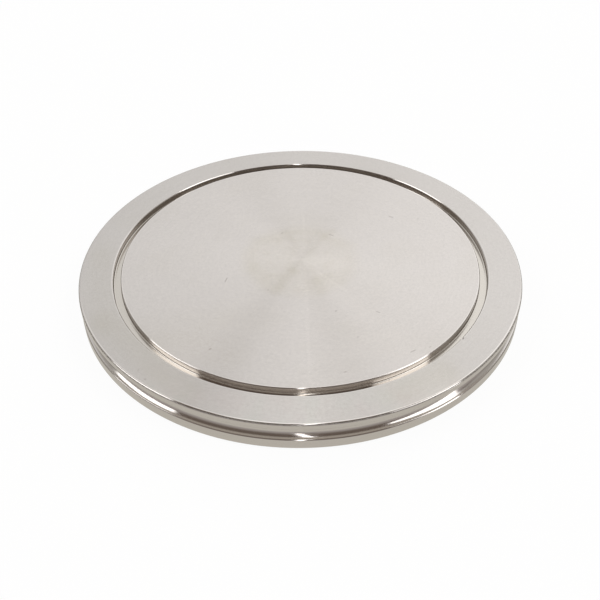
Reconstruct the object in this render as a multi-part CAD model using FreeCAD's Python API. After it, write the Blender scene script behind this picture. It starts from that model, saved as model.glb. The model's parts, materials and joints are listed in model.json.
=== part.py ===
import FreeCAD, Part
import math
import os

# Blank end flange for a clamped vacuum connection, turned from one piece of
# stainless steel. The origin is the centre of the back face, with Z along the
# turning axis and the sealing face on top. All sizes are in millimetres.

# Disc
outside_diameter = 180.0
thickness = 12.0
rim_edge_break = 0.5

# Half-round groove round the rim, which the clamp claws hook into
claw_groove_radius = 2.5
claw_groove_below_face = 5.0
claw_groove_lip_break = 0.3

# Square groove in the sealing face, which locates the centring ring
centring_groove_diameter = 153.0
centring_groove_width = 3.2
centring_groove_depth = 2.7
centring_groove_corner_radius = 0.4
centring_groove_edge_break = 0.3


def section_point(radius, height):
    """Point of the half section, at a radius from the axis and a height."""
    return FreeCAD.Vector(radius, 0.0, height)


def on_circle(centre, radius, degrees):
    """Point of a circle in the section plane, at an angle from straight outwards."""
    angle = math.radians(degrees)
    return centre + section_point(radius * math.cos(angle), radius * math.sin(angle))


class Outline:
    """Closed chain of lines and arcs round the half section."""

    def __init__(self, start):
        self.start = start
        self.end = start
        self.edges = []

    def line_to(self, *corners):
        """Add straight lines through the corners, in their order."""
        for corner in corners:
            self.edges.append(Part.LineSegment(self.end, corner).toShape())
            self.end = corner

    def arc_to(self, middle, end):
        """Add an arc through its middle point to its end."""
        self.edges.append(Part.Arc(self.end, middle, end).toShape())
        self.end = end

    def closed_face(self):
        """Return to the start and fill the outline."""
        self.line_to(self.start)
        return Part.Face(Part.Wire(self.edges))


def add_claw_groove(outline):
    """Half-round groove centred on the rim surface, both lips broken at 45 degrees."""
    rim_radius = outside_diameter / 2
    centre = section_point(rim_radius, thickness - claw_groove_below_face)
    # The lip break ends where the round has sunk as deep as the break is wide
    lip_depth = claw_groove_lip_break
    lip_height = math.sqrt(claw_groove_radius**2 - lip_depth**2)
    half_opening = claw_groove_radius + claw_groove_lip_break

    outline.line_to(
        centre - section_point(0.0, half_opening),
        centre - section_point(lip_depth, lip_height),
    )
    outline.arc_to(
        on_circle(centre, claw_groove_radius, 180),
        centre + section_point(-lip_depth, lip_height),
    )
    outline.line_to(centre + section_point(0.0, half_opening))


def add_centring_groove(outline):
    """Groove with upright walls, a flat floor, rounded corners and broken edges."""
    outer_wall = centring_groove_diameter / 2
    inner_wall = outer_wall - centring_groove_width
    floor = thickness - centring_groove_depth
    edge = centring_groove_edge_break
    corner = centring_groove_corner_radius
    outer_corner = section_point(outer_wall - corner, floor + corner)
    inner_corner = section_point(inner_wall + corner, floor + corner)

    outline.line_to(
        section_point(outer_wall + edge, thickness),
        section_point(outer_wall, thickness - edge),
        on_circle(outer_corner, corner, 0),
    )
    outline.arc_to(
        on_circle(outer_corner, corner, -45),
        on_circle(outer_corner, corner, -90),
    )
    outline.line_to(on_circle(inner_corner, corner, -90))
    outline.arc_to(
        on_circle(inner_corner, corner, -135),
        on_circle(inner_corner, corner, -180),
    )
    outline.line_to(
        section_point(inner_wall, thickness - edge),
        section_point(inner_wall - edge, thickness),
    )


def blank_flange():
    """Half section of the whole flange, turned once round the axis."""
    rim_radius = outside_diameter / 2
    outline = Outline(section_point(0.0, 0.0))
    # Back face and the lower edge of the rim
    outline.line_to(
        section_point(rim_radius - rim_edge_break, 0.0),
        section_point(rim_radius, rim_edge_break),
    )
    add_claw_groove(outline)
    # Upper edge of the rim and the narrow sealing face
    outline.line_to(
        section_point(rim_radius, thickness - rim_edge_break),
        section_point(rim_radius - rim_edge_break, thickness),
    )
    add_centring_groove(outline)
    # Central face, level with the sealing face
    outline.line_to(section_point(0.0, thickness))
    axis_foot = FreeCAD.Vector(0.0, 0.0, 0.0)
    axis_direction = FreeCAD.Vector(0.0, 0.0, 1.0)
    return outline.closed_face().revolve(axis_foot, axis_direction, 360)


os.makedirs("parts", exist_ok=True)
blank_flange().exportStep("parts/blank_flange.step")
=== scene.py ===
import json
import math

import bpy
import numpy as np
from bpy.props import FloatProperty, FloatVectorProperty, IntProperty, PointerProperty
from bpy.types import Operator, Panel, PropertyGroup
from mathutils import Matrix, Vector


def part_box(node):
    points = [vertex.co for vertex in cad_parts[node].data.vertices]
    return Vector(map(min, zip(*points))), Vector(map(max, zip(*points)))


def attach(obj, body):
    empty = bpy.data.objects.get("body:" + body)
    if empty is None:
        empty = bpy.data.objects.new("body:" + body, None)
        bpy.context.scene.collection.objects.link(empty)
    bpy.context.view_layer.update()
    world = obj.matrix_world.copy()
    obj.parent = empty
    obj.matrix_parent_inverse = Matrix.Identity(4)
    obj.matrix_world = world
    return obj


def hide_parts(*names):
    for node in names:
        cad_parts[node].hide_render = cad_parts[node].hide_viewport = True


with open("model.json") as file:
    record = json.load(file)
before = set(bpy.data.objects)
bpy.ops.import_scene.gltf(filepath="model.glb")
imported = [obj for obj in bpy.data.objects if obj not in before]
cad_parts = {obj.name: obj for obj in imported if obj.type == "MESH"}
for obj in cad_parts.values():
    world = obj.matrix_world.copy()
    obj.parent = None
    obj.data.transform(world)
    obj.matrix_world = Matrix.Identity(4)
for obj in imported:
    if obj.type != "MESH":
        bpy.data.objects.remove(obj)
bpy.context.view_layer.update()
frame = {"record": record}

bl_info = {
    "name": "Blank Vacuum Flange",
    "version": (1, 0, 0),
    "blender": (4, 5, 0),
    "location": "3D View > Sidebar > Flange",
    "description": "Turns a blank clamped vacuum flange and sets it on a studio floor",
    "category": "Add Mesh",
}

MM = 0.001
DISC_NODE = "blank_flange"
STEEL_SLOT = "turned_stainless"
WHITE = (1.0, 1.0, 1.0)

disc_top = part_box(DISC_NODE)[1].z
mounts = {mount["name"]: mount for mount in frame["record"]["mounts"]}


# Sizes and colours that a user would change


class FlangeForm(PropertyGroup):
    """Sizes of the turned disc."""

    outside_radius: FloatProperty(
        name="Outside radius",
        description="Radius of the rim",
        default=mounts["rim"]["dims"]["r_mm"] * MM,
        unit="LENGTH",
    )
    thickness: FloatProperty(
        name="Thickness",
        description="Height of the sealing face above the back face",
        default=disc_top,
        unit="LENGTH",
    )
    rim_edge_break: FloatProperty(
        name="Rim edge break",
        description="Width of the 45 degree breaks on the two rim edges",
        default=0.5 * MM,
        unit="LENGTH",
    )
    claw_groove_height: FloatProperty(
        name="Claw groove height",
        description="Height of the middle of the rim groove above the back face",
        default=mounts["claw_groove"]["pos_m"][2],
        unit="LENGTH",
    )
    claw_groove_radius: FloatProperty(
        name="Claw groove radius",
        description="Radius of the half round in the rim",
        default=2.5 * MM,
        unit="LENGTH",
    )
    claw_groove_lip_break: FloatProperty(
        name="Claw groove lip break",
        description="Width of the breaks on both lips of the rim groove",
        default=0.3 * MM,
        unit="LENGTH",
    )
    centring_groove_radius: FloatProperty(
        name="Centring groove radius",
        description="Radius of the outer wall of the face groove",
        default=76.5 * MM,
        unit="LENGTH",
    )
    centring_groove_width: FloatProperty(
        name="Centring groove width",
        description="Distance between the walls of the face groove",
        default=3.2 * MM,
        unit="LENGTH",
    )
    centring_groove_depth: FloatProperty(
        name="Centring groove depth",
        description="Depth of the face groove below the sealing face",
        default=2.7 * MM,
        unit="LENGTH",
    )
    centring_groove_corner: FloatProperty(
        name="Centring groove corner",
        description="Radius of the floor corners of the face groove",
        default=0.4 * MM,
        unit="LENGTH",
    )
    centring_groove_edge_break: FloatProperty(
        name="Centring groove edge break",
        description="Width of the breaks on both edges of the face groove",
        default=0.3 * MM,
        unit="LENGTH",
    )
    rim_edge_round: FloatProperty(
        name="Rim edge round",
        description="Radius at both corners of a rim edge break, from deburring",
        default=0.8 * MM,
        unit="LENGTH",
    )
    groove_edge_round: FloatProperty(
        name="Groove edge round",
        description="Radius at both corners of a groove's edge break, from deburring",
        default=0.15 * MM,
        unit="LENGTH",
    )
    nick_azimuth: FloatProperty(
        name="Nick azimuth",
        description="Where the small nick is on the outer edge of the face groove",
        default=math.radians(-39.3),
        subtype="ANGLE",
    )
    nick_depth: FloatProperty(
        name="Nick depth",
        description="How far the nick pushes the edge outwards and down",
        default=0.4 * MM,
        unit="LENGTH",
    )
    turning_steps: IntProperty(
        name="Turning steps",
        description="Number of steps of the surface round the axis",
        default=600,
        min=90,
    )


class TurnedFinish(PropertyGroup):
    """Look of the turned stainless steel."""

    steel_colour: FloatVectorProperty(
        name="Steel colour",
        description="Reflected colour of the clean turned steel",
        default=(0.70, 0.662, 0.632),
        subtype="COLOR",
    )
    centre_tint: FloatVectorProperty(
        name="Centre tint",
        description="Tint of the zone in the middle that was faced last",
        default=(0.992, 0.987, 0.965),
        subtype="COLOR",
    )
    middle_radius: FloatProperty(
        name="Middle radius",
        description="Radius of the zone in the middle that was faced last",
        default=23.5 * MM,
        unit="LENGTH",
    )
    ring_tint: FloatVectorProperty(
        name="Ring tint",
        description="Tint of the narrow sealing ring outside the face groove",
        default=(0.918, 0.922, 0.920),
        subtype="COLOR",
    )
    # Also tints the painted dark fans that run out from the middle
    stain_and_painted_fan_tint: FloatVectorProperty(
        name="Stain tint",
        description="Tint of the faint stains on the sealing face",
        default=(0.942, 0.938, 0.905),
        subtype="COLOR",
    )
    groove_floor_tint: FloatVectorProperty(
        name="Groove floor tint",
        description="Tint of the face groove's flat floor",
        default=(0.97, 0.965, 0.925),
        subtype="COLOR",
    )
    # Also sets the painted highlight on the rim's front edge
    edge_burnish_and_rim_highlight: FloatProperty(
        name="Edge shine",
        description="How much paler the burnished edges of the face are",
        default=0.2,
    )
    mark_tint: FloatVectorProperty(
        name="Mark tint",
        description="Tint of the small scratches and dots on the sealing face",
        default=(0.62, 0.60, 0.58),
        subtype="COLOR",
    )
    # Painted shade: the face groove's upright walls are painted darker than the steel
    painted_wall_shade_tint: FloatVectorProperty(
        name="Wall tint",
        description="Tint of the upright walls of the face groove",
        default=(0.52, 0.50, 0.48),
        subtype="COLOR",
    )
    face_roughness: FloatProperty(
        name="Face roughness",
        description="Roughness of the faced surfaces",
        default=0.25,
        subtype="FACTOR",
    )
    groove_roughness: FloatProperty(
        name="Groove roughness",
        description="Roughness of the rim and of both grooves, cut with a round tool",
        default=0.14,
        subtype="FACTOR",
    )
    anisotropy: FloatProperty(
        name="Anisotropy",
        description="How far the turning lines stretch a reflection across themselves",
        default=0.9,
        subtype="FACTOR",
    )


class StudioStage(PropertyGroup):
    """Room, floor, lamps and camera."""

    lens_mm: FloatProperty(
        name="Lens",
        description="Focal length of the camera in millimetres",
        default=48.69,
    )
    camera_distance: FloatProperty(
        name="Camera distance",
        description="Distance from the camera to the point it looks at",
        default=0.3498,
        unit="LENGTH",
    )
    camera_elevation: FloatProperty(
        name="Camera elevation",
        description="Angle of the view above the horizon",
        default=math.radians(40.084),
        subtype="ANGLE",
    )
    camera_roll: FloatProperty(
        name="Camera roll",
        description="Turn of the camera about its line of sight",
        default=math.radians(-0.578),
        subtype="ANGLE",
    )
    camera_target: FloatVectorProperty(
        name="Camera target",
        description="Point that the camera looks at",
        default=(-0.224 * MM, 0.0, -9.803 * MM),
        subtype="TRANSLATION",
        unit="LENGTH",
    )
    softbox_radiance: FloatProperty(
        name="Softbox radiance",
        description="Brightness of the softboxes, where 1 is white",
        default=2.2,
    )
    strip_radiance: FloatProperty(
        name="Strip radiance",
        description="Brightness of the thin lamp overhead, where 1 is white",
        default=4.0,
    )
    wall_colour: FloatVectorProperty(
        name="Wall colour",
        description="Colour of the lit back and ceiling of the room",
        default=(1.0, 1.0, 1.0),
        subtype="COLOR",
    )
    side_colour: FloatVectorProperty(
        name="Side colour",
        description="Colour of the sides of the room",
        default=(0.44, 0.425, 0.40),
        subtype="COLOR",
    )
    low_side_colour: FloatVectorProperty(
        name="Low side colour",
        description="Colour of the dim sides of the room below the lamps",
        default=(0.30, 0.285, 0.26),
        subtype="COLOR",
    )
    near_floor_colour: FloatVectorProperty(
        name="Near floor colour",
        description="Colour of the floor round the disc as its rim mirrors it",
        default=(0.63, 0.612, 0.56),
        subtype="COLOR",
    )
    far_floor_colour: FloatVectorProperty(
        name="Far floor colour",
        description="Colour of the floor further off as the rim mirrors it",
        default=(0.41, 0.395, 0.37),
        subtype="COLOR",
    )
    haze_colour: FloatVectorProperty(
        name="Haze colour",
        description="Colour of the low surroundings on the camera's side",
        default=(0.43, 0.40, 0.385),
        subtype="COLOR",
    )
    ceiling_colour: FloatVectorProperty(
        name="Ceiling colour",
        description="Colour of the unlit room above and behind the camera",
        default=(0.15, 0.12, 0.10),
        subtype="COLOR",
    )


# Nodes written as expressions


class Wire:
    """One output socket; arithmetic on it adds Math nodes to its tree."""

    def __init__(self, graph, socket):
        self.graph = graph
        self.socket = socket

    def _math(self, operation, *values):
        node = self.graph.node(
            "ShaderNodeMath", {"operation": operation}, dict(enumerate(values))
        )
        return node[0]

    def __add__(self, other):
        return self._math("ADD", self, other)

    def __radd__(self, other):
        return self._math("ADD", other, self)

    def __sub__(self, other):
        return self._math("SUBTRACT", self, other)

    def __rsub__(self, other):
        return self._math("SUBTRACT", other, self)

    def __mul__(self, other):
        return self._math("MULTIPLY", self, other)

    def __rmul__(self, other):
        return self._math("MULTIPLY", other, self)

    def __truediv__(self, other):
        return self._math("DIVIDE", self, other)

    def __rtruediv__(self, other):
        return self._math("DIVIDE", other, self)

    def apply(self, operation, *others):
        """Any other Math operation with this value first, such as SINE or MAXIMUM."""
        return self._math(operation, self, *others)


class NodeOutputs:
    """Outputs of a node, read by name or number as Wires."""

    def __init__(self, graph, node):
        self.graph = graph
        self.node = node

    def __getitem__(self, key):
        return Wire(self.graph, self.node.outputs[key])


class Graph:
    """Builds one node tree."""

    def __init__(self, tree):
        self.tree = tree
        tree.nodes.clear()

    def node(self, kind, settings=None, inputs=None):
        """Add a node of a type, with its settings first and then its sockets."""
        node = self.tree.nodes.new(kind)
        for name, value in (settings or {}).items():
            setattr(node, name, value)
        for key, value in (inputs or {}).items():
            if isinstance(value, Wire):
                self.tree.links.new(value.socket, node.inputs[key])
            else:
                node.inputs[key].default_value = value
        return NodeOutputs(self, node)

    def smooth(self, value, low, high):
        """0 below low and 1 above high, with a smooth step between; low may be the larger."""
        return self.node(
            "ShaderNodeMapRange",
            {"interpolation_type": "SMOOTHSTEP"},
            {"Value": value, "From Min": low, "From Max": high},
        )[0]

    def mix_colour(self, factor, first, second):
        """Blend two colours by a factor, with the Mix node's colour sockets, 6, 7 and 2."""
        return self.node(
            "ShaderNodeMix",
            {"data_type": "RGBA"},
            {"Factor": factor, 6: opaque(first), 7: opaque(second)},
        )[2]

    def vector_math(self, operation, *vectors, scale=None, output="Vector"):
        """A Vector Math operation on vectors or colours; scale is for SCALE alone."""
        inputs = dict(enumerate(vectors))
        if scale is not None:
            inputs["Scale"] = scale
        return self.node("ShaderNodeVectorMath", {"operation": operation}, inputs)[output]

    def noise(self, place, scale, detail, roughness=0.5):
        """Noise about 0.5 at a place, finer for a larger scale."""
        return self.node(
            "ShaderNodeTexNoise",
            None,
            {"Vector": place, "Scale": scale, "Detail": detail, "Roughness": roughness},
        )["Fac"]

    def vector(self, x, y, z):
        """Three numbers as one vector."""
        return self.node("ShaderNodeCombineXYZ", None, {0: x, 1: y, 2: z})[0]


def opaque(colour):
    """A colour as four numbers; a Wire stays as it is."""
    if isinstance(colour, Wire):
        return colour
    return (*tuple(colour)[:3], 1.0)


def tint(colour, factors):
    """A colour with each part multiplied by its own factor."""
    return tuple(part * factor for part, factor in zip(colour, factors))


# Surface of the disc

HALF_ROUND_POINTS = 31
CORNER_POINTS = 5
SUPPORT_LENGTH = 0.15 * MM
RING_SPACING = 12.0 * MM

# Distances of four extra rings from the outer wall of the face groove
NICK_RINGS = np.array([1.6, 1.2, 0.9, 0.6]) * MM
# Half length of the nick round the axis, and how far it reaches from the edge
NICK_RUN = 0.45 * MM
NICK_REACH = 0.5 * MM
# The nick's finer steps, in degrees from its middle
NICK_STEPS = np.linspace(-0.9, 0.9, 13)


def rounded(corners, radii, steps, support):
    """Outline with each corner rounded.

    At a corner the outline turns from one unit direction into the next. A round of
    radius r touches both runs at r times tan(half the turn) from the corner, and
    its points are the first touching point turned about the round's centre by equal
    shares of the turn. One more point lies a short support length before and after
    each round, so that shading stays flat on the runs.
    """
    runs = np.diff(corners, axis=0)
    lengths = np.hypot(runs[:, 0], runs[:, 1])
    directions = runs / lengths[:, None]
    into, out = directions[:-1], directions[1:]
    cross = into[:, 0] * out[:, 1] - into[:, 1] * out[:, 0]
    dot = (into * out).sum(axis=1)
    turn = np.arctan2(cross, dot)
    reach = radii * np.tan(np.abs(turn) / 2)
    middle = corners[1:-1]
    touch = middle - into * reach[:, None]
    normal = np.stack([-into[:, 1], into[:, 0]], axis=1) * np.sign(turn)[:, None]
    centre = touch + normal * radii[:, None]
    angle = turn[:, None] * np.linspace(0.0, 1.0, steps)
    arm = touch - centre
    arc = centre[:, None] + np.stack(
        [
            arm[:, :1] * np.cos(angle) - arm[:, 1:] * np.sin(angle),
            arm[:, :1] * np.sin(angle) + arm[:, 1:] * np.cos(angle),
        ],
        axis=2,
    )
    room = np.minimum(lengths[:-1], lengths[1:]) / 4
    step = np.minimum(support, room)[:, None]
    before = touch - into * step
    after = middle + out * (reach[:, None] + step)
    rounds = np.concatenate([before[:, None], arc, after[:, None]], axis=1)
    # A corner of no radius stays one point
    rounds = np.where(radii[:, None, None] > 0.0, rounds, middle[:, None])
    points = np.concatenate([corners[:1], rounds.reshape(-1, 2), corners[-1:]])
    apart = np.hypot(*np.diff(points, axis=0).T) > 1e-9
    return points[np.concatenate([[True], apart])]


def rim_outline(form):
    """Rows of radius, height and corner round, from the back's middle up to the face.

    Corners of the back face and lower land come first, then the half round, whose
    points are centre plus radius times (cos a, sin a) for a running from the lower
    lip break, inwards through 180 degrees, to the upper one, and the upper land
    last. The half round's own points are on the true curve and have no round.
    """
    rim = form.outside_radius
    top = form.thickness
    edge = form.rim_edge_break
    middle = form.claw_groove_height
    lip = form.claw_groove_lip_break
    groove = form.claw_groove_radius
    edge_round = form.rim_edge_round
    lip_round = form.groove_edge_round
    start = math.asin(lip / groove)
    sweep = np.linspace(1.5 * math.pi - start, 0.5 * math.pi + start, HALF_ROUND_POINTS)
    half_round = np.stack(
        [rim + groove * np.cos(sweep), middle + groove * np.sin(sweep), np.zeros_like(sweep)],
        axis=1,
    )
    half_round[[0, -1], 2] = lip_round
    lower = [
        (0.0, 0.0, 0.0),
        (rim - edge, 0.0, edge_round),
        (rim, edge, edge_round),
        (rim, middle - groove - lip, lip_round),
    ]
    upper = [
        (rim, middle + groove + lip, lip_round),
        (rim, top - edge, edge_round),
        (rim - edge, top, edge_round),
    ]
    return np.concatenate([lower, half_round, upper])


def face_outline(form):
    """Rows of radius, height and corner round, from the face groove to the middle."""
    top = form.thickness
    outer = form.centring_groove_radius
    inner = outer - form.centring_groove_width
    floor_height = top - form.centring_groove_depth
    floor_round = form.centring_groove_corner
    edge = form.centring_groove_edge_break
    edge_round = form.groove_edge_round
    return np.array(
        [
            (outer + edge, top, edge_round),
            (outer, top - edge, edge_round),
            (outer, floor_height, floor_round),
            (inner, floor_height, floor_round),
            (inner, top - edge, edge_round),
            (inner - edge, top, edge_round),
            (0.0, top, 0.0),
        ]
    )


def disc_outline(form):
    """Whole half outline of the disc, as radius and height, with its corners rounded.

    Close rings beside the face groove take the place of any others there, so that
    the nick's dent ends beside the groove.
    """
    corners = np.concatenate([rim_outline(form), face_outline(form)])
    outline = rounded(corners[:, :2], corners[1:-1, 2], CORNER_POINTS, SUPPORT_LENGTH)
    outline = with_rings(outline, RING_SPACING)
    beside = form.centring_groove_radius + NICK_RINGS
    rings = np.stack([beside, np.full_like(beside, form.thickness)], axis=1)
    upper_half = outline[:, 1] > form.thickness / 2
    before = int(np.argmax(upper_half & (outline[:, 0] < beside[0])))
    after = int(np.argmax(upper_half & (outline[:, 0] < beside[-1])))
    return np.concatenate([outline[:before], rings, outline[after:]])


def with_rings(outline, spacing):
    """Outline with more points on its long runs, at even distances along its length."""
    run = np.hypot(*np.diff(outline, axis=0).T)
    along = np.concatenate([[0.0], np.cumsum(run)])
    extra = np.arange(spacing, along[-1], spacing)
    run_of_extra = np.searchsorted(along, extra) - 1
    on_long_run = (run > spacing)[run_of_extra]
    every = np.unique(np.concatenate([along, extra[on_long_run]]))
    return np.stack([np.interp(every, along, outline[:, k]) for k in (0, 1)], axis=1)


def turned_surface(outline, angles):
    """Surface of revolution through an outline that starts and ends on the axis.

    The point at outline place i and angle a is (radius_i cos a, radius_i sin a,
    height_i). The two ends are single points, joined to their rings by triangles.
    """
    radius, height = outline[1:-1].T
    steps = len(angles)
    rings = np.stack(
        [
            radius[:, None] * np.cos(angles),
            radius[:, None] * np.sin(angles),
            np.broadcast_to(height[:, None], (len(radius), steps)),
        ],
        axis=2,
    )
    bottom = [[0.0, 0.0, outline[0, 1]]]
    top = [[0.0, 0.0, outline[-1, 1]]]
    points = np.concatenate([bottom, rings.reshape(-1, 3), top])
    here = np.arange(steps)
    there = np.roll(here, -1)
    start = 1 + steps * np.arange(len(radius) - 1)[:, None]
    quads = np.stack(
        [start + here, start + there, start + steps + there, start + steps + here],
        axis=2,
    ).reshape(-1, 4)
    last = len(points) - 1
    last_ring = last - steps
    bottom_fan = np.stack([np.zeros(steps, int), 1 + there, 1 + here], axis=1)
    top_fan = np.stack([last_ring + here, last_ring + there, np.full(steps, last)], axis=1)
    return points, quads.tolist() + bottom_fan.tolist() + top_fan.tolist()


def turning_angles(form):
    """Angles of the surface's steps: even ones, with finer ones in their place at the nick."""
    even = np.linspace(-math.pi, math.pi, form.turning_steps, endpoint=False)
    fine = form.nick_azimuth + np.radians(NICK_STEPS)
    taken = np.radians(NICK_STEPS[-1] + 0.15)
    clear = np.abs(even - form.nick_azimuth) > taken
    return np.sort(np.concatenate([even[clear], fine]))


def nicked(points, form):
    """Points with the outer edge of the face groove knocked outwards and down.

    The push is the nick's depth times exp(-(a / A)^2 - (d / D)^2), for a the run
    round the axis from the nick's middle and d the distance from the edge, with A
    and D the nick's half length and reach.
    """
    edge = form.centring_groove_radius + form.centring_groove_edge_break / 2
    radius = np.hypot(points[:, 0], points[:, 1])
    azimuth = np.arctan2(points[:, 1], points[:, 0])
    around = (azimuth - form.nick_azimuth) * edge
    away = np.hypot(radius - edge, points[:, 2] - form.thickness)
    push = form.nick_depth * np.exp(-((around / NICK_RUN) ** 2) - (away / NICK_REACH) ** 2)
    direction = np.stack([np.cos(azimuth), np.sin(azimuth), np.full_like(azimuth, -1.0)], axis=1)
    return points + direction * push[:, None]


def mesh_object(name, points, faces):
    """New smooth-shaded mesh object at the origin."""
    mesh = bpy.data.meshes.new(name)
    mesh.from_pydata(points, [], faces)
    mesh.shade_smooth()
    mesh.update()
    piece = bpy.data.objects.new(name, mesh)
    bpy.context.scene.collection.objects.link(piece)
    return piece


# Finish of the disc, with painted highlights and shade


# Small marks on the face, in millimetres: x and y of one end and of the other, width,
# and strength
SMALL_MARKS = (
    (-30.2, -14.3, -29.5, -11.7, 0.36, 0.68),
    (-33.3, -53.2, -32.8, -52.9, 0.48, 0.62),
    (-54.8, -68.1, -54.5, -67.9, 0.48, 0.57),
    (-57.9, -63.6, -57.6, -63.4, 0.41, 0.48),
    (-12.9, -19.7, -12.7, -19.4, 0.48, 0.57),
    (39.8, 30.9, 41.0, 30.1, 0.83, 0.38),
    (51.9, 28.7, 52.4, 28.8, 0.48, 0.48),
    (13.4, -32.8, 13.7, -32.5, 0.54, 0.57),
    (28.9, -33.1, 30.2, -33.9, 0.36, 0.57),
    (20.9, -47.6, 21.2, -47.3, 0.41, 0.48),
    (39.7, -55.7, 41.3, -54.7, 0.41, 0.57),
    (46.6, -53.3, 47.2, -53.0, 0.41, 0.48),
    (15.0, -65.6, 15.8, -65.4, 0.48, 0.48),
    (-7.9, 19.0, -7.5, 19.3, 0.60, 0.52),
    (12.6, 17.8, 14.2, 16.8, 0.48, 0.52),
)

# Soft dark patches on the face, written as the small marks are. The narrow ones that run out
# from the middle are painted dark fans of reflection; the others darken the face in broad
# patches.
DARK_PATCHES_AND_PAINTED_FANS = (
    (35.0, -75.0, 49.0, -67.0, 13.0, 0.80),
    (-74.0, -38.0, -40.0, -73.0, 12.0, 0.60),
    (-83.0, 5.0, -74.0, -38.0, 11.0, 0.35),
    (1.2, 1.1, -3.4, -7.5, 1.1, 0.22),
    (-3.4, -7.5, -10.0, -21.5, 3.9, 0.43),
    (4.4, -4.3, 6.3, -12.3, 1.8, 0.22),
    (6.3, -12.3, 8.5, -21.1, 3.7, 0.39),
    (-6.4, 19.1, -3.8, 14.7, 3.4, 0.35),
    (-4.2, 15.4, -0.8, 8.1, 1.8, 0.20),
    (14.4, 20.3, 9.9, 15.2, 3.2, 0.35),
    (11.2, 16.6, 2.5, 1.8, 1.8, 0.22),
    (-4.2, 19.8, 13.0, 19.5, 4.1, 0.15),
    (-18.3, 13.5, -9.8, 15.5, 5.8, 0.37),
    (-21.0, 7.1, -20.1, -5.3, 5.8, 0.22),
    (-18.0, -6.6, -11.3, -18.3, 6.9, 0.37),
    (14.9, 11.4, 21.2, 10.6, 5.8, 0.25),
    (11.1, -12.3, 16.6, -15.0, 4.6, 0.13),
    (-7.0, -10.8, -1.7, -5.6, 5.8, 0.19),
    (-6.5, 27.4, 9.8, 27.2, 9.0, 0.10),
    (-56.4, -42.4, -14.7, -36.3, 16.0, 0.25),
    (-49.8, -50.7, -26.5, -54.7, 14.0, 0.33),
    (16.4, -43.5, 47.0, -52.1, 16.0, 0.19),
)

# Painted highlights on the face: soft pale patches and streaks of reflection, written the same
# way
PAINTED_HIGHLIGHT_STREAKS = (
    (5.3, -1.0, 15.4, -2.5, 8.0, 0.55),
    (-9.8, 17.0, -1.3, 6.0, 1.3, 0.50),
    (7.2, -8.4, 17.6, -20.1, 1.2, 0.45),
    (-1.0, -16.6, 4.6, -16.7, 0.5, 0.90),
    (1.0, -20.4, 3.4, -20.4, 0.5, 0.80),
    (1.0, -22.3, 2.9, -22.3, 0.4, 0.70),
    (-4.1, -17.8, -0.2, -17.9, 0.3, 0.30),
    (1.5, 32.0, 1.7, 6.7, 1.0, 0.35),
    (2.0, -5.6, 3.0, -70.2, 1.2, 0.32),
)

# Share of a mark's half width that has its full strength
SOFT = 0.2
CRISP = 0.4

# Tints of the painted sheen on the front of the sealing ring
GREEN_SHEEN = (0.986, 1.0, 0.993)
PINK_SHEEN = (1.0, 0.988, 0.990)


class DiscPlace:
    """Place on the disc as Wires, with masks of the disc's surfaces.

    Radius is the distance from the axis. Across and along are the cosine and sine of
    the angle round it, so that a pattern on them closes on itself.
    """

    def __init__(self, graph, form):
        self.graph = graph
        self.form = form
        self.point = graph.node("ShaderNodeTexCoord")["Object"]
        axes = graph.node("ShaderNodeSeparateXYZ", None, {0: self.point})
        x, self.y, self.height = axes["X"], axes["Y"], axes["Z"]
        self.radius = (x * x + self.y * self.y).apply("SQRT")
        clear_of_axis = self.radius.apply("MAXIMUM", 0.1 * MM)
        self.across = x / clear_of_axis
        self.along = self.y / clear_of_axis

        self.face = self.below_face(0.05 * MM, 0.01 * MM)
        self.back = graph.smooth(self.height, 0.05 * MM, 0.01 * MM)
        self.flat = self.face + self.back
        self.outer_wall = form.centring_groove_radius
        self.inner_wall = self.outer_wall - form.centring_groove_width
        self.sealing_ring = self.face * self.outwards(
            self.outer_wall - 1.5 * MM, self.outer_wall - 0.5 * MM
        )
        self.face_groove = self.outwards(
            self.outer_wall + 3.5 * MM, self.outer_wall + 1.5 * MM
        ) * self.outwards(self.inner_wall - 2.3 * MM, self.inner_wall - 1.3 * MM)

    def below_face(self, nought, full):
        """0 at one depth below the sealing face and 1 at the other."""
        top = self.form.thickness
        return self.graph.smooth(self.height, top - nought, top - full)

    def outwards(self, nought, full):
        """0 at one radius and 1 at the other."""
        return self.graph.smooth(self.radius, nought, full)

    def forwards(self, nought, full):
        """0 and 1 at two distances in front of the axis, on the camera's side."""
        return self.graph.smooth(self.y, -nought, -full)

    def ring(self, inside, outside, soft=0.1 * MM):
        """1 between two radii, with soft sides."""
        return self.outwards(inside - soft, inside + soft) * self.outwards(
            outside + soft, outside - soft
        )

    def turning_lines(self, arc, pitch, lift=0.0):
        """Noise drawn out round the axis, for an arc in radians and a pitch."""
        rise = self.radius / pitch + lift
        lines = self.graph.vector(self.across / arc, self.along / arc, rise)
        return self.graph.noise(lines, 1.0, 3.0, roughness=0.6)

    def rays(self, rise, scale, detail):
        """Noise drawn out along the radius, which changes faster along it for a larger rise."""
        place = self.graph.vector(self.across, self.along, self.radius * rise)
        return self.graph.noise(place, scale, detail)


def near_lines(graph, point, lines, core):
    """Strength of marks: each is the space near the line between its two ends.

    The strength is full within the core share of the half width and nought beyond
    the half width plus the rest.
    """
    total = 0.0
    flat_point = graph.vector_math("MULTIPLY", point, (1.0, 1.0, 0.0))
    for x0, y0, x1, y1, width, strength in lines:
        length = math.hypot(x1 - x0, y1 - y0)
        ahead = ((x1 - x0) / length, (y1 - y0) / length, 0.0)
        from_start = graph.vector_math("SUBTRACT", flat_point, (x0 * MM, y0 * MM, 0.0))
        run = graph.vector_math("DOT_PRODUCT", from_start, ahead, output="Value")
        run = run.apply("MAXIMUM", 0.0).apply("MINIMUM", length * MM)
        nearest = graph.vector_math("SCALE", ahead, scale=run)
        gap = graph.vector_math("DISTANCE", from_start, nearest, output="Value")
        half = width / 2 * MM
        total = total + graph.smooth(gap, half * (2.0 - core), half * core) * strength
    return total


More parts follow.
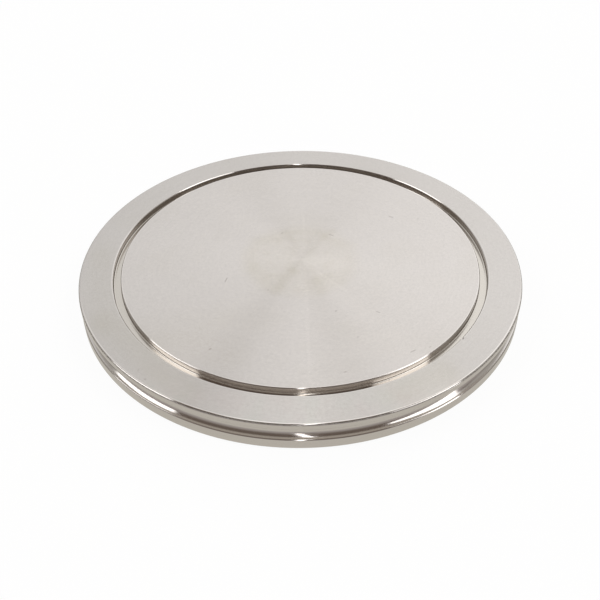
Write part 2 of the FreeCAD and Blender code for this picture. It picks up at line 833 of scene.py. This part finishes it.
def burnished_edges_and_painted_rim_highlight(disc):
    """Paler edges: both of the face groove all round, left bright by deburring, and the rim's in
    front only, which is a painted highlight.
    """
    inner_edge = disc.inner_wall - disc.form.centring_groove_edge_break
    outer_edge = disc.outer_wall + disc.form.centring_groove_edge_break
    rim_edge = disc.form.outside_radius - disc.form.rim_edge_break
    on_inner = disc.ring(inner_edge - 0.25 * MM, inner_edge)
    on_outer = disc.ring(outer_edge, outer_edge + 0.3 * MM)
    on_rim = disc.ring(rim_edge - 0.5 * MM, rim_edge - 0.1 * MM)
    # Painted highlight: the rim's edge is paler in front only
    in_front = disc.forwards(15.0 * MM, 45.0 * MM)
    return (on_inner + on_outer * 0.5 + on_rim * in_front * 1.7) * disc.face


def surface_colour(graph, disc, finish, middle):
    """Clean steel, tinted in the middle, on the sealing ring and in the face groove, whose walls
    carry painted shade.
    """
    steel = tuple(finish.steel_colour)
    depth = disc.form.centring_groove_depth
    corner_top = depth - disc.form.centring_groove_corner
    corner_foot = depth - 0.05 * MM
    # Painted shade: the walls are painted darker, less so in front, where they stay bright
    # because they mirror the lamps
    dim = 1.0 - disc.forwards(35.0 * MM, 58.0 * MM) * 0.75
    walls = disc.below_face(0.25 * MM, 0.5 * MM) * disc.below_face(corner_foot, corner_top)
    walls = walls * disc.face_groove * dim
    groove_floor = disc.below_face(corner_top, corner_foot) * (1.0 - disc.back)
    groove_floor = groove_floor * disc.face_groove
    colour = steel
    for mask, factors in (
        (middle, finish.centre_tint),
        (disc.sealing_ring, finish.ring_tint),
        (walls, finish.painted_wall_shade_tint),
        (groove_floor, finish.groove_floor_tint),
    ):
        colour = graph.mix_colour(mask, colour, tint(steel, factors))
    return colour


def painted_sheen(graph, disc, front):
    """Painted sheen: faint green and pink reflection by turns, in front on the sealing ring."""
    hues = disc.rays(8.0, 9.0, 1.0)
    green = graph.smooth(hues, 0.5, 0.65) * front
    pink = graph.smooth(hues, 0.5, 0.35) * front
    return graph.mix_colour(pink, graph.mix_colour(green, WHITE, GREEN_SHEEN), PINK_SHEEN)


def stains_and_painted_fans(graph, disc, finish, middle, cloud):
    """Tint of the stains: broad smudges, clouds in the middle, and the single ones, among which
    the fans out from the middle are painted shade.
    """
    smudge = graph.noise(disc.point, 45.0, 3.0)
    darkened = graph.smooth(smudge, 0.48, 0.72) * 0.2
    darkened = darkened + middle * graph.smooth(cloud, 0.45, 0.65) * 0.3
    # The single patches include painted dark fans of reflection
    single = near_lines(graph, disc.point, DARK_PATCHES_AND_PAINTED_FANS, SOFT)
    darkened = darkened + single * (0.75 + cloud * 0.5)
    darkened = (darkened * disc.face).apply("MINIMUM", 1.0)
    return graph.mix_colour(darkened, WHITE, tuple(finish.stain_and_painted_fan_tint))


def grain_and_painted_highlights(graph, disc, finish, turning, burnish_and_rim_highlight, front):
    """Brightness of the turning lines, scuffs, speckle and deburred edges, with painted
    highlights: pale streaks, the rim's front edge, and a paler front of the sealing ring with
    spokes.
    """
    scuffs = disc.turning_lines(0.35, 6.0 * MM, lift=40.0)
    speckle = graph.noise(disc.point, 900.0, 2.0)
    painted_spoke_highlights = disc.rays(4.0, 110.0, 2.0)
    lines = (turning - 0.5) * 0.10 + (scuffs - 0.5) * 0.03 + (speckle - 0.5) * 0.12
    # Painted highlights: the pale patches and streaks
    pale = near_lines(graph, disc.point, PAINTED_HIGHLIGHT_STREAKS, SOFT) * disc.face
    brightness = 1.0 + disc.flat * lines + pale * 0.05 + burnish_and_rim_highlight * finish.edge_burnish_and_rim_highlight
    # Painted highlight: the front of the sealing ring is paler, with faint spokes of reflection
    return brightness + front * (0.045 + (painted_spoke_highlights - 0.5) * 0.03)


def turned_steel(finish, form):
    """Stainless steel with fine turning lines round the axis, and painted highlights and shade.
    """
    material = bpy.data.materials.new(STEEL_SLOT)
    material.use_nodes = True
    graph = Graph(material.node_tree)
    disc = DiscPlace(graph, form)
    turning = disc.turning_lines(0.12, 0.35 * MM)
    cloud = graph.noise(disc.point, 160.0, 4.0)
    wandering = disc.radius + (cloud - 0.5) * 7.0 * MM
    soft = 4.0 * MM
    middle = graph.smooth(wandering, finish.middle_radius + soft, finish.middle_radius - soft)
    middle = middle * disc.face
    # Front of the sealing ring, which gets painted highlight and painted sheen
    front = disc.sealing_ring * disc.forwards(60.0 * MM, 80.0 * MM)
    burnish_and_rim_highlight = burnished_edges_and_painted_rim_highlight(disc)

    roughness = (
        finish.groove_roughness
        + disc.flat * (finish.face_roughness - finish.groove_roughness)
        + disc.flat * (turning - 0.5) * 0.02
        - burnish_and_rim_highlight * 0.06
    )
    colour = surface_colour(graph, disc, finish, middle)
    colour = graph.vector_math("MULTIPLY", colour, painted_sheen(graph, disc, front))
    stain_and_fan_shade = stains_and_painted_fans(graph, disc, finish, middle, cloud)
    colour = graph.vector_math("MULTIPLY", colour, stain_and_fan_shade)
    brightness = grain_and_painted_highlights(graph, disc, finish, turning, burnish_and_rim_highlight, front)
    colour = graph.vector_math("SCALE", colour, scale=brightness)
    marks = near_lines(graph, disc.point, SMALL_MARKS, CRISP) * disc.face
    mark_colour = tint(finish.steel_colour, finish.mark_tint)
    colour = graph.mix_colour(marks.apply("MINIMUM", 1.0), colour, mark_colour)
    shader = graph.node(
        "ShaderNodeBsdfPrincipled",
        None,
        {
            "Base Color": colour,
            "Metallic": 1.0,
            "Roughness": roughness,
            "Anisotropic": finish.anisotropy,
            "Anisotropic Rotation": 0.25,
        },
    )["BSDF"]
    graph.node("ShaderNodeOutputMaterial", None, {"Surface": shader})
    return material


class FLANGE_OT_turn_disc(Operator):
    """Turn the one-piece disc with its rim groove and face groove"""

    bl_idname = "flange.turn_disc"
    bl_label = "Turn Disc"

    def execute(self, context):
        form = context.scene.flange_form
        points, faces = turned_surface(disc_outline(form), turning_angles(form))
        disc = mesh_object("turned_disc", nicked(points, form), faces)
        disc.data.materials.append(turned_steel(context.scene.turned_finish, form))
        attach(disc, "root")
        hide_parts(DISC_NODE)
        return {"FINISHED"}


# Studio


# Rings that bound the lamps and the unlit gaps of the room: each row is the azimuth at
# right angles to a level line, and the runs along that line where the space starts and
# where it is full
LEFT_LAMP = ((-119.4, -0.455, -0.475), (-138.7, -0.69, -0.65))
RIGHT_LAMP = ((-70.6, 0.315, 0.335), (-52.0, 0.58, 0.56))
LEFT_GAP = ((-111.0, -0.30, -0.325), (-142.0, -0.70, -0.60))
RIGHT_GAP = ((-80.0, 0.09, 0.15), (-66.0, 0.34, 0.29))
RIGHT_HAZE = ((-68.0, 0.26, 0.30), (-35.0, 0.66, 0.56))

# Upward lines at right angles to the lower edges of the two lamps
LEFT_LAMP_UP = (0.285, 0.644, 0.709)
RIGHT_LAMP_UP = (0.321, 0.882, 0.346)

FLOOR_HALF_WIDTH = 6.0
FLOOR_GAP = 0.05 * MM


class RoomDirection:
    """Direction looked in as Wires, with spaces of the room that it can be in.

    In it x runs from left to right, y from the camera's side to the back, and z up.
    """

    def __init__(self, graph):
        self.graph = graph
        direction = graph.node("ShaderNodeTexCoord")["Object"]
        axes = graph.node("ShaderNodeSeparateXYZ", None, {0: direction})
        self.x, self.y, self.z = axes["X"], axes["Y"], axes["Z"]

    def between(self, rings):
        """Space between rings, on each of which y cos(azimuth) - x sin(azimuth) is the same."""
        space = 1.0
        for azimuth, start, full in rings:
            turn = math.radians(azimuth)
            run = self.x * -math.sin(turn) + self.y * math.cos(turn)
            space = space * self.graph.smooth(run, start, full)
        return space

    def above(self, up, edge):
        """Space above a slanting edge, where the run along its upward line is more."""
        level = self.x * up[0] + self.y * up[1] + self.z * up[2]
        return self.graph.smooth(level, edge - 0.02, edge + 0.03)


def room_walls(graph, look, stage):
    """White back, darker to the left, grey sides, and a dark opening behind the camera."""
    shading = 0.75 + 0.33 * graph.smooth(look.x, -0.45, 0.2)
    wall = graph.vector_math("SCALE", tuple(stage.wall_colour), scale=shading)
    middle = graph.smooth(look.x.apply("ABSOLUTE"), 0.30, 0.08)
    back = graph.smooth(look.y + middle * 0.22, 0.36, 0.58)
    raised = graph.smooth(look.z, 0.2, 0.55)
    sides = graph.mix_colour(raised, stage.low_side_colour, stage.side_colour)
    colour = graph.mix_colour(back, sides, wall)

    gaps = look.between(LEFT_GAP) + look.between(RIGHT_GAP) * 0.4
    gaps = (gaps + look.between(RIGHT_HAZE) * 0.3).apply("MINIMUM", 1.0)
    gaps = gaps * graph.smooth(look.z, 0.70, 0.78) * graph.smooth(look.y, 0.58, 0.46)
    colour = graph.mix_colour(gaps, colour, stage.ceiling_colour)

    high = graph.smooth(look.z, 0.1, 0.75)
    opening = graph.mix_colour(high, stage.haze_colour, stage.ceiling_colour)
    return graph.mix_colour(graph.smooth(look.y, 0.1, -0.08), colour, opening)


def with_lamps(graph, look, stage, colour):
    """Colour of the room with a softbox on either side and a thin lamp overhead."""
    left = look.between(LEFT_LAMP) * look.above(LEFT_LAMP_UP, -0.06)
    right = look.between(RIGHT_LAMP) * look.above(RIGHT_LAMP_UP, 0.0)
    reach = graph.smooth(look.y, 0.32, 0.2) * graph.smooth(look.z, 0.9, 0.84)
    softboxes = ((left + right) * reach).apply("MINIMUM", 1.0)
    colour = graph.mix_colour(softboxes, colour, (stage.softbox_radiance,) * 3)

    aside = (look.x - look.y * 0.049 - look.z * 0.05).apply("ABSOLUTE")
    length = graph.smooth(look.z, 0.3, 0.45) * graph.smooth(look.y, 0.25, 0.1)
    strip = graph.smooth(aside, 0.024, 0.014) * length
    return graph.mix_colour(strip, colour, (stage.strip_radiance,) * 3)


def room(stage):
    """Room round the disc, which its steel mirrors and the camera sees as plain white."""
    world = bpy.data.worlds.new("studio_room")
    world.use_nodes = True
    graph = Graph(world.node_tree)
    look = RoomDirection(graph)
    colour = with_lamps(graph, look, stage, room_walls(graph, look, stage))
    ray = graph.node("ShaderNodeLightPath")
    colour = graph.mix_colour(ray["Is Camera Ray"], colour, WHITE)
    background = graph.node("ShaderNodeBackground", None, {"Color": colour, "Strength": 1.0})
    graph.node("ShaderNodeOutputWorld", None, {"Surface": background["Background"]})
    bpy.context.scene.world = world


def white_floor(stage):
    """Floor paint that shows as white and still darkens where the disc shades it.

    It mixes white paint, which takes the shadow, with a glow. The camera sees mostly
    the glow, and the steel mirrors the glow in the colours of the near and far floor.
    From below the camera looks through the floor at the back face.
    """
    material = bpy.data.materials.new("white_floor")
    material.use_nodes = True
    graph = Graph(material.node_tree)
    ray = graph.node("ShaderNodeLightPath")
    mirrored = (ray["Is Glossy Ray"] + ray["Is Transmission Ray"]).apply("MINIMUM", 1.0)
    place = graph.node("ShaderNodeTexCoord")["Object"]
    near = graph.smooth(graph.vector_math("LENGTH", place, output="Value"), 0.30, 0.12)
    seen = graph.mix_colour(near, stage.far_floor_colour, stage.near_floor_colour)
    light = graph.mix_colour(mirrored, (1.05, 1.05, 1.05), seen)
    paint = graph.node("ShaderNodeBsdfDiffuse", None, {"Color": (0.7, 0.7, 0.7, 1.0)})
    glow = graph.node("ShaderNodeEmission", None, {"Color": light, "Strength": 1.0})
    share = ray["Is Camera Ray"] * 0.9 + mirrored * 0.97
    both = graph.node(
        "ShaderNodeMixShader", None, {0: share, 1: paint["BSDF"], 2: glow["Emission"]}
    )
    below = graph.node("ShaderNodeNewGeometry")["Backfacing"] * ray["Is Camera Ray"]
    clear = graph.node("ShaderNodeBsdfTransparent")
    whole = graph.node(
        "ShaderNodeMixShader", None, {0: below, 1: both["Shader"], 2: clear["BSDF"]}
    )
    graph.node("ShaderNodeOutputMaterial", None, {"Surface": whole["Shader"]})
    return material


def floor(stage):
    """Square floor just below the back face."""
    half = FLOOR_HALF_WIDTH
    corners = [(-half, -half, 0.0), (half, -half, 0.0), (half, half, 0.0), (-half, half, 0.0)]
    sheet = mesh_object("studio_floor", corners, [(0, 1, 2, 3)])
    sheet.location.z = -FLOOR_GAP
    sheet.data.materials.append(white_floor(stage))


def camera(stage):
    """Camera in front of the disc, looking down at it."""
    data = bpy.data.cameras.new("camera")
    data.lens = stage.lens_mm
    holder = bpy.data.objects.new("camera", data)
    tilt = stage.camera_elevation
    back = Vector((0.0, -math.cos(tilt), math.sin(tilt)))
    place = Vector(stage.camera_target) + back * stage.camera_distance
    look_down = Matrix.Rotation(math.pi / 2 - tilt, 4, "X")
    roll = Matrix.Rotation(stage.camera_roll, 4, "Z")
    holder.matrix_world = Matrix.Translation(place) @ look_down @ roll
    bpy.context.scene.collection.objects.link(holder)
    bpy.context.scene.camera = holder


class FLANGE_OT_set_stage(Operator):
    """Set the floor, room, lamps and camera"""

    bl_idname = "flange.set_stage"
    bl_label = "Set Stage"

    def execute(self, context):
        stage = context.scene.studio_stage
        context.scene.view_settings.view_transform = "Standard"
        room(stage)
        floor(stage)
        camera(stage)
        return {"FINISHED"}


class FLANGE_PT_sidebar(Panel):
    """Sizes, finish and stage of the flange"""

    bl_label = "Blank Flange"
    bl_idname = "FLANGE_PT_sidebar"
    bl_space_type = "VIEW_3D"
    bl_region_type = "UI"
    bl_category = "Flange"

    def draw(self, context):
        layout = self.layout
        groups = ("flange_form", "turned_finish", "studio_stage")
        for group in groups:
            box = layout.box()
            settings = getattr(context.scene, group)
            for name in settings.bl_rna.properties.keys():
                if name not in ("rna_type", "name"):
                    box.prop(settings, name)
        layout.operator(FLANGE_OT_turn_disc.bl_idname)
        layout.operator(FLANGE_OT_set_stage.bl_idname)


CLASSES = (
    FlangeForm,
    TurnedFinish,
    StudioStage,
    FLANGE_OT_turn_disc,
    FLANGE_OT_set_stage,
    FLANGE_PT_sidebar,
)


def register():
    for each in CLASSES:
        bpy.utils.register_class(each)
    bpy.types.Scene.flange_form = PointerProperty(type=FlangeForm)
    bpy.types.Scene.turned_finish = PointerProperty(type=TurnedFinish)
    bpy.types.Scene.studio_stage = PointerProperty(type=StudioStage)


def unregister():
    del bpy.types.Scene.studio_stage
    del bpy.types.Scene.turned_finish
    del bpy.types.Scene.flange_form
    for each in reversed(CLASSES):
        bpy.utils.unregister_class(each)


def main():
    register()
    bpy.ops.flange.turn_disc()
    bpy.ops.flange.set_stage()


if __name__ == "__main__":
    main()
